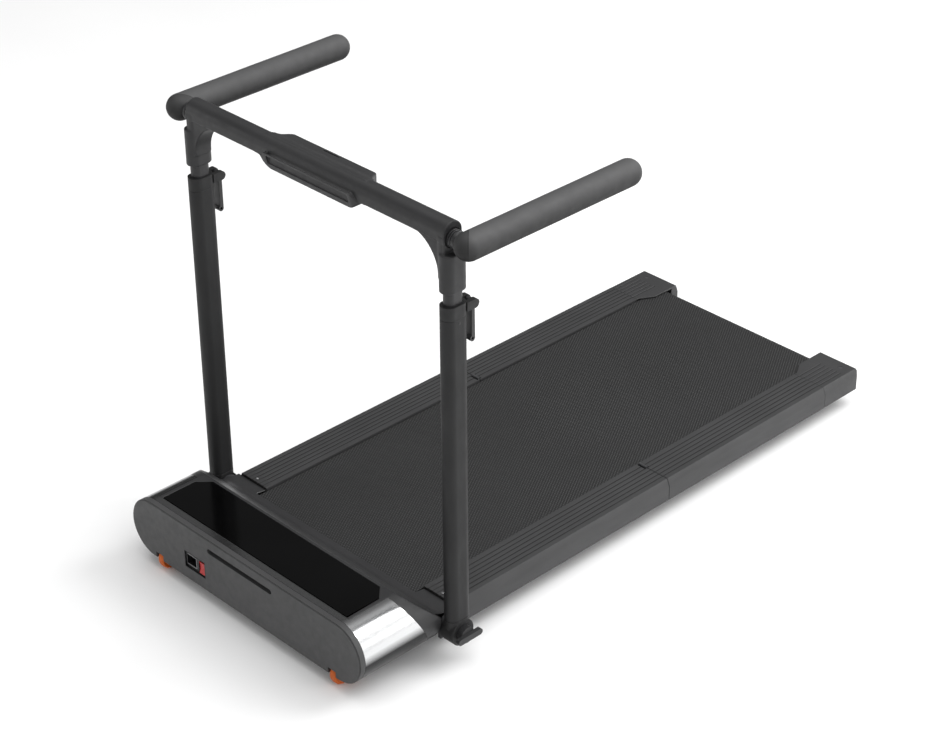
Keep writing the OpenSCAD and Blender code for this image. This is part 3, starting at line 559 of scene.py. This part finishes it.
def net_piece(name, f, lo, hi, step, slot, body, replaces):
    """A piece over the zero level of the distance f, in mm, between two corners."""
    pts, quads = surface_net(f, lo, hi, step)
    me = bpy.data.meshes.new(name)
    me.from_pydata((pts * MM).tolist(), [], quads.tolist())
    me.validate()
    bm = bmesh.new()
    bm.from_mesh(me)
    bpy.data.meshes.remove(me)
    return finish_mesh(name, bm, slot, body, replaces, angle=50)


# ---------------------------------------------------------------- top of the mast
def obround_distance(x, y, cx, cy, w, l):
    r = w / 2
    qy = np.abs(y - cy) - (l / 2 - r)
    return np.sqrt((x - cx) ** 2 + np.maximum(qy, 0) ** 2) - r


def u_moulding(x, y, z):
    """Bar, legs over the inner tubes and the curved webs between them."""
    ax = np.abs(x)
    yy = y - MAST_Y
    # bar: round on top, flat faces low down
    round_top = np.sqrt(yy ** 2 + np.maximum(z - (BAR_Z0 + BAR_FLAT), 0) ** 2) - BAR_R
    bar = smax(round_top, BAR_Z0 - z, 2.5)
    bar = smax(bar, ax - BAR_HALF, 1.5)
    # leg over the inner tube
    leg = obround_distance(ax, y, UPRIGHT_X, MAST_Y, *OUTER_TUBE)
    leg = smax(leg, LEG_Z0 - z, 1.5)
    leg = smax(leg, z - (BAR_Z0 + 8), 3)
    step = smax(LEG_STEP_Z - z, -smax(ax - BAR_HALF, np.abs(yy) - BAR_R, 2.0), 3.0)
    leg = smax(leg, -step, 3.0)
    # web: solid corner outside a quarter circle
    wx, wz = UPRIGHT_X - 16 - WEB_R, BAR_Z0 + 2 - WEB_R
    hole = WEB_R - np.sqrt((ax - wx) ** 2 + (z - wz) ** 2)
    web = np.maximum(hole, wx - ax)
    web = np.maximum(web, wz - z)
    web = smax(web, np.abs(yy) - 19.5, 3.0)
    web = np.maximum(web, ax - (UPRIGHT_X - 6))
    web = np.maximum(web, z - (BAR_Z0 + 10))
    d = smin(bar, web, 2.0)
    d = smin(d, leg, 4.0)
    bore = obround_distance(ax, y, UPRIGHT_X, MAST_Y, *INNER_TUBE)
    d = np.maximum(d, -np.maximum(bore, z - (LEG_STEP_Z - 5)))
    neck = np.sqrt(yy ** 2 + (z - GRIP_Z) ** 2) - 18.6
    return smax(d, -np.maximum(neck, BAR_HALF - 3.5 - ax), 0.8)


def ease(t):
    t = np.clip(t, 0, 1)
    return t * t * (3 - 2 * t)


def rear_pod(ax, y, z):
    """Swelling behind the bar: its top slopes back from the bar, its ends curve in."""
    back = POD_Y1 - 26 * ease((ax - POD_HALF + 2) / 22)
    d = smax((y - back) * 0.85, (z - POD_Z1 - (POD_Y1 - y) * 0.129), 5.0)
    d = smax(d, POD_Z0 - z, 5.0)
    return np.maximum(np.maximum(d, MAST_Y - y), ax - POD_HALF - 21)


def front_belly(ax, y, z):
    """Belly under the bar with the lip of the device slot, ends curving up to the bar."""
    end = ease((ax - BELLY_HALF - 4) / 28)
    low = BELLY_Z0 + 21.5 * ease((ax - BELLY_HALF + 5) / 41)
    lean = BAR_FACE + 0.5 - (z - BELLY_Z0) * 0.257 * (1 - end)
    d = smax((lean - y) * 0.95, (low - z) * 0.9, 4.0)
    d = smax(d, y - MAST_Y - 19, 4.0)
    top = BELLY_Z1 - 15 * ease((ax - BELLY_HALF - 3) / 22)
    d = smax(d, (z - top) * 0.9, 1.2)
    return np.maximum(d, ax - BELLY_HALF - 38)


def mast_top_shape(x, y, z):
    ax = np.abs(x)
    d = u_moulding(x, y, z)
    d = smin(d, rear_pod(ax, y, z), 7.0)
    d = smin(d, front_belly(ax, y, z), 3.0)
    pocket = sd_box(x, y, z, (-BELLY_HALF, BAR_FACE - SLOT_W, SLOT_Z0),
                    (BELLY_HALF, BAR_FACE - 0.3, 950), 1.0)
    d = smax(d, -pocket, 0.6)
    vent = sd_box(x, y, z, (-21, POD_Y1 - 11.2, POD_Z1 - 4), (21, POD_Y1 - 8, 950), 1.0)
    return smax(d, -vent, 0.5)


net_piece("top_moulding", mast_top_shape, (-UPRIGHT_X - 20, MAST_Y - 34, LEG_Z0 - 4),
          (UPRIGHT_X + 20, POD_Y1 + 4, BAR_Z0 + 40), 1.35,
          "bar_plastic", "mast_top", ["crossbar", "console_pod", "device_fence"])


# ---------------------------------------------------------------- grips
def grip_profile():
    """(along, radius) of the foam in metres: a slightly waisted tube with round ends."""
    r, length = GRIP_R * MM, GRIP_LEN * MM
    tip, waist, end_steps, steps = 0.0004, 0.00012, 12, 24
    quarter = [math.pi / 2 * i / end_steps for i in range(end_steps + 1)]
    pts = [(-r * math.cos(k), max(r * math.sin(k), tip)) for k in quarter]
    pts += [(length * i / steps, r - waist * math.sin(math.pi * i / steps * 2) ** 2)
            for i in range(1, steps)]
    pts += [(length + r * math.sin(k), max(r * math.cos(k), tip)) for k in quarter]
    return pts


def make_grip(side, name):
    """Foam grip, and the stepped neck that holds it in the end of the bar."""
    bm = bmesh.new()
    lathe(bm, grip_profile(), (side * GRIP_X * MM, GRIP_Y0 * MM, GRIP_Z * MM), (0, 1, 0), 72)
    pad = finish_mesh("foam_" + name, bm, "grip_foam", "grip_" + name, ["grip_pad_" + name],
                      angle=60)
    bm = bmesh.new()
    x0, x1 = (BAR_HALF + 0.4) * MM, (GRIP_X - 12) * MM
    lathe(bm, [(-0.030, 0.007), (-0.0032, 0.007), (-0.0032, 0.0172), (0.0022, 0.0172),
               (0.0028, 0.0166), (0.0028, 0.0148), (0.0044, 0.0148), (0.0044, 0.0168),
               (0.005, 0.0174), (0.0078, 0.0174), (0.0084, 0.0168), (0.0084, 0.0152),
               (0.0098, 0.0152), (0.0098, 0.0166), (0.0104, 0.0172), (0.0142, 0.0172),
               (0.015, 0.0164), (x1 - x0, 0.015)],
          (side * x0, MAST_Y * MM, GRIP_Z * MM), (side, 0, 0), 56)
    finish_mesh("neck_" + name, bm, "lever_plastic", "grip_" + name, ["grip_core_" + name])


make_grip(1, "left")
make_grip(-1, "right")


# ---------------------------------------------------------------- uprights
def make_tube(side, name, size, wall, height, slot, body, replaced, edge=0.0012):
    """Upright tube, open at both ends, with rounded outer rims."""
    (w, l), (z0, z1) = size, height
    outer = [(x * MM, y * MM) for x, y in obround(side * UPRIGHT_X, MAST_Y, w, l)]
    inner = [(x * MM, y * MM) for x, y in
             obround(side * UPRIGHT_X, MAST_Y, w - 2 * wall, l - 2 * wall)]
    mid = [(x * MM, y * MM) for x, y in
           obround(side * UPRIGHT_X, MAST_Y, w - 2 * edge / MM, l - 2 * edge / MM)]
    levels = [(mid, z0 * MM), (outer, z0 * MM + edge)]
    levels += [(outer, (z0 + (z1 - z0) * k / 8) * MM) for k in range(1, 8)]
    levels += [(outer, z1 * MM - edge), (mid, z1 * MM), (inner, z1 * MM), (inner, z0 * MM)]
    bm = bmesh.new()
    add_rings(bm, [[(x, y, z) for x, y in pts] for pts, z in levels], looped=True)
    return weigh(finish_mesh(name, bm, slot, body, replaced))


for s, side in ((1, "left"), (-1, "right")):
    make_tube(s, "tube_" + side, OUTER_TUBE, OUTER_WALL, OUTER_Z, "mast_paint", "mast",
              ["upright_" + side])
for s, side in ((1, "left"), (-1, "right")):
    make_tube(s, "inner_tube_" + side, INNER_TUBE, INNER_WALL, INNER_Z, "inner_tube_metal",
              "mast_top", ["inner_tubes"] if s > 0 else [])


# ---------------------------------------------------------------- running belt
def make_belt():
    """One loop of sheet over both rollers, with close rows at the fold."""
    z0, outer = ROLLER_Z, 20.4
    front, rear = FRONT_ROLLER_Y, REAR_ROLLER_Y
    half = RAIL_IN - 2
    ys = list(np.linspace(front, FOLD - 40, 26)) + list(np.linspace(FOLD - 38, FOLD + 38, 58))
    ys += list(np.linspace(FOLD + 40, rear, 22))
    path = [(y, z0 + outer, 0.0, 1.0) for y in ys]
    for i in range(1, 20):
        k = math.pi * i / 20
        path.append((rear + outer * math.sin(k), z0 + outer * math.cos(k), math.sin(k),
                     math.cos(k)))
    path += [(y, z0 - outer, 0.0, -1.0) for y in reversed(ys)]
    for i in range(1, 20):
        k = math.pi + math.pi * i / 20
        path.append((front + outer * math.sin(k), z0 + outer * math.cos(k), math.sin(k),
                     math.cos(k)))
    # cross-section of the sheet: (x, depth below the outer face)
    section = [(-half, 0.5), (-half + 0.5, 0.0)]
    section += [(half * (i / 6 - 1), 0.0) for i in range(1, 12)]
    section += [(half - 0.5, 0.0), (half, 0.5), (half, 2.0)]
    section += [(half * (1 - i / 6), 2.0) for i in range(1, 12)]
    section += [(-half, 2.0)]
    bm = bmesh.new()
    add_rings(bm, [[(x * MM, (y - ny * d) * MM, (z - nz * d) * MM) for x, d in section]
                   for y, z, ny, nz in path], looped=True)
    belt = finish_mesh("belt", bm, "running_belt", None, ["belt_front", "belt_rear"])
    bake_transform(belt)


make_belt()


# ---------------------------------------------------------------- pieces shaped from the CAD
for side in ("left", "right"):
    refined("rail_front_" + side, "rail_plastic", "base", 0.0005)
    refined("rail_rear_" + side, "rail_plastic", "rear_deck", 0.0005)
    refined("end_cap_" + side, "cap_plastic", "rear_deck", 0.0014, 3)
    refined("collar_" + side, "collar_plastic", "mast", 0.0009)
    refined("lever_" + side, "lever_plastic", "lever_" + side, 0.0008)
    refined("knob_" + side, "lever_plastic", "knob_" + side, 0.0012, 3)
refined("hood", "hood_plastic", "base", 0.0016, 3)
refined("front_fascia", "fascia_plastic", "base", 0.0012, 3)
refined("display_panel", "panel_glass", "base", 0.0005)
refined("mast_feet", "mast_paint", "mast", 0.0012, 3)
refined("pivot_brackets", "frame_steel", "base", 0.0008)
refined("inlet_socket", "inlet_plastic", "base", 0.0004)
refined("power_rocker", "switch_red", "switch", 0.0006)
refined("belly_pan", "pan_plastic", "base", 0.0008)
refined("front_feet", "black_rubber", "base", 0.0012)
refined("rear_feet", "black_rubber", "rear_deck", 0.0012)


# ---------------------------------------------------------------- small fitted parts
def slab(bm, x, y, z, corner=0.0, steps=4):
    """Box with its upright corners rounded."""
    pts = []
    for cx, cy, start in ((x[1] - corner, y[1] - corner, 0), (x[0] + corner, y[1] - corner, 1),
                          (x[0] + corner, y[0] + corner, 2), (x[1] - corner, y[0] + corner, 3)):
        for i in range(steps + 1 if corner else 1):
            k = math.pi / 2 * (start + i / steps)
            pts.append((cx + corner * math.cos(k), cy + corner * math.sin(k)))
    add_rings(bm, [[(px * MM, py * MM, h * MM) for px, py in pts] for h in z])


def rail_plates():
    """Thin plates with one screw each on the front ends of the rails."""
    for s, side in ((1, "left"), (-1, "right")):
        bm = bmesh.new()
        xs = sorted((s * (RAIL_IN + 7.5), s * (RAIL_IN + 77)))
        slab(bm, xs, (-606.5 + FOLD, -587.5 + FOLD), (DECK_TOP - 0.1, DECK_TOP + 0.65), 5.0)
        round_edges(bm, 0.0003, 1)
        finish_mesh("rail_plate_" + side, bm, "cap_plastic", "base")
        bm = bmesh.new()
        lathe(bm, [(0.0, 0.0001), (0.0, 0.0026), (0.0003, 0.0022), (0.0003, 0.0001)],
              (s * (RAIL_IN + 42) * MM, (-597 + FOLD) * MM, (DECK_TOP + 0.62) * MM), (0, 0, 1),
              24)
        finish_mesh("plate_screw_" + side, bm, "bright_steel", "base")


def tube_screws():
    """Small screw in the outer face of each upright, just below its collar."""
    for s, side in ((1, "left"), (-1, "right")):
        bm = bmesh.new()
        lathe(bm, [(-0.001, 0.0001), (-0.001, 0.0026), (0.0003, 0.0024), (0.0005, 0.0016),
                   (0.0002, 0.0001)],
              (s * (UPRIGHT_X + OUTER_TUBE[0] / 2) * MM, MAST_Y * MM, (OUTER_Z[1] - 9) * MM),
              (s, 0, 0), 24)
        finish_mesh("tube_screw_" + side, bm, "inlet_plastic", "mast")


def frame_box(bm, x, y, z, wall):
    """Rectangular frame in the X-Z plane, y deep."""
    outer = [(x[0], z[0]), (x[1], z[0]), (x[1], z[1]), (x[0], z[1])]
    inner = [(x[0] + wall, z[0] + wall), (x[1] - wall, z[0] + wall),
             (x[1] - wall, z[1] - wall), (x[0] + wall, z[1] - wall)]
    sides = ((outer, y[0]), (outer, y[1]), (inner, y[1]), (inner, y[0]))
    add_rings(bm, [[(px * MM, py * MM, pz * MM) for px, pz in pts] for pts, py in sides],
              looped=True)


def inlet_details():
    """Black lining of the recess, and a pale rim round the mains socket as a painted highlight on
    its edge.
    """
    bm = bmesh.new()
    frame_box(bm, (INLET_X - 31.4, INLET_X + 31.4), (HEAD_Y + 0.1, HEAD_Y + 4.2),
              (INLET_Z - 18.9, INLET_Z + 18.9), 0.7)
    finish_mesh("inlet_lining", bm, "inlet_plastic", "base", angle=20)
    bm = bmesh.new()
    # pale metal frame round the mains socket: a painted highlight on its edge
    frame_box(bm, (SOCKET_X - 15.4, SOCKET_X + 15.4), (HEAD_Y + 3.4, HEAD_Y + 4.5),
              (INLET_Z - 12.4, INLET_Z + 12.4), 1.3)
    finish_mesh("socket_highlight_rim", bm, "motor_steel", "base", angle=20)


rail_plates()
tube_screws()
inlet_details()


# ---------------------------------------------------------------- transport wheels
def make_wheel(side, name):
    """Solid wheel with a rounded tread, a rim and a sunk web on each face."""
    at = (side * WHEEL_X * MM, WHEEL_Y * MM, WHEEL_Z * MM)
    r, h = 0.024, 0.008
    bm = bmesh.new()
    prof = [(-h, 0.0045), (-h, 0.012), (-h + 0.0012, 0.0135), (-h + 0.0012, 0.0185),
            (-h, 0.0195), (-h, 0.0212), (-h + 0.0008, 0.0226), (-h + 0.0024, 0.0236),
            (-h + 0.005, r), (h - 0.005, r), (h - 0.0024, 0.0236), (h - 0.0008, 0.0226),
            (h, 0.0212), (h, 0.0195), (h - 0.0012, 0.0185), (h - 0.0012, 0.0135), (h, 0.012),
            (h, 0.0045)]
    lathe(bm, prof, at, (1, 0, 0), 64)
    finish_mesh("roller_wheel_" + name, bm, "wheel_orange", "wheel_" + name, ["wheel_" + name])


make_wheel(1, "left")
make_wheel(-1, "right")


# ---------------------------------------------------------------- what stays from the CAD
slots = {s["node"]: s["material_slot"] for s in frame["record"]["subparts"]}
for name, o in nodes.items():
    if not o.hide_render:
        for i in range(max(1, len(o.data.materials))):
            if i < len(o.data.materials):
                o.material_slots[i].material = MATS[slots[name]]
            else:
                o.data.materials.append(MATS[slots[name]])


# ---------------------------------------------------------------- floor and light
def make_stage():
    """Plain pale floor."""
    bm = bmesh.new()
    bmesh.ops.create_grid(bm, x_segments=1, y_segments=1, size=14.0)
    me = bpy.data.meshes.new("floor")
    bm.to_mesh(me)
    bm.free()
    o = bpy.data.objects.new("floor", me)
    bpy.context.scene.collection.objects.link(o)
    m, t, bsdf = nodes_of("floor")
    t.links.new(two_colours(t, spread(t, noise(t, coords(t), 2.0), 0, 1), (0.93, 0.93, 0.93),
                            (0.95, 0.95, 0.95)), bsdf.inputs["Base Color"])
    bsdf.inputs["Roughness"].default_value = 0.9
    bsdf.inputs["Specular IOR Level"].default_value = 0.1
    me.materials.append(m)


def area(name, at, towards, size, power):
    data = bpy.data.lights.new(name, "AREA")
    data.shape = "RECTANGLE"
    data.size, data.size_y = size
    data.energy = power
    o = bpy.data.objects.new(name, data)
    bpy.context.scene.collection.objects.link(o)
    o.location = at
    o.rotation_euler = (Vector(towards) - Vector(at)).to_track_quat("-Z", "Y").to_euler()


make_stage()
area("key", (1.6, 2.2, 2.9), (0, 0, 0.3), (2.2, 2.2), 85)
area("side", (3.4, 2.6, 1.1), (0, 0.1, 0.2), (1.8, 1.4), 30)
area("left", (-3.6, -3.0, 1.5), (0, -0.3, 0.4), (1.6, 1.6), 22)
area("overhead", (-0.3, -0.2, 4.6), (0, 0, 0), (4.5, 4.5), 90)


def make_world():
    """Studio sky that is bright towards +X and above, and dark towards -X."""
    world = bpy.data.worlds.new("studio")
    bpy.context.scene.world = world
    world.use_nodes = True
    t = world.node_tree
    tc = t.nodes.new("ShaderNodeTexCoord")
    dot = t.nodes.new("ShaderNodeVectorMath")
    dot.operation = "DOT_PRODUCT"
    dot.inputs[1].default_value = (0.86, 0.05, 0.45)
    t.links.new(tc.outputs["Generated"], dot.inputs[0])
    glow = spread(t, dot.outputs["Value"], 0.10, 0.95, -0.55, 0.8)
    sky = t.nodes["Background"]
    sky.inputs["Color"].default_value = (1, 1, 1, 1)
    t.links.new(glow, sky.inputs["Strength"])


make_world()
bpy.context.scene.view_settings.view_transform = "Standard"
